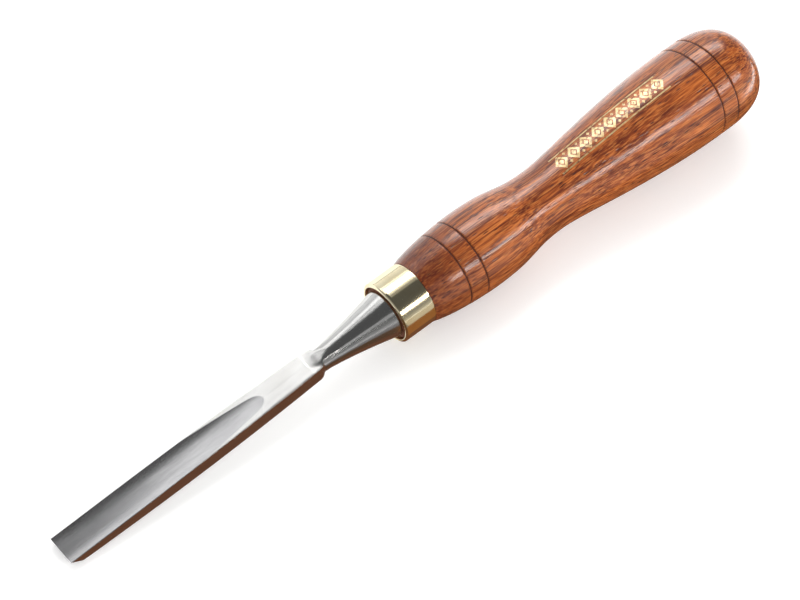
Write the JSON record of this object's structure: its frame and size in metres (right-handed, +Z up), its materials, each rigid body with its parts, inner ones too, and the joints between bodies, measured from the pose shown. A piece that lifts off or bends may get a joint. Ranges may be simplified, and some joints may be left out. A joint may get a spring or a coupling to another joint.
{
  "type": "carving chisel",
  "caption": "Tanged hand chisel with a straight narrow blade, shallow channel, brass ferrule and turned hardwood handle.",
  "frame": {"origin": "on the bench surface, below the middle of the tool, as it lies on its bevel heel and front swell", "axes": "+X towards the cutting edge, +Z up out of the bench with the channelled face uppermost; the tool's own axis dips towards the edge by about 3.4 degrees"},
  "size_m": [0.2454, 0.0298, 0.0324],
  "materials": {
    "blade_steel": "ground and lightly polished",
    "ferrule_brass": "polished",
    "handle_wood": "gloss lacquer over reddish-brown hardwood"
  },
  "bodies": {
    "root": {"blade": "blade_steel", "ferrule": "ferrule_brass", "handle": "handle_wood"}
  },
  "joints": []
}
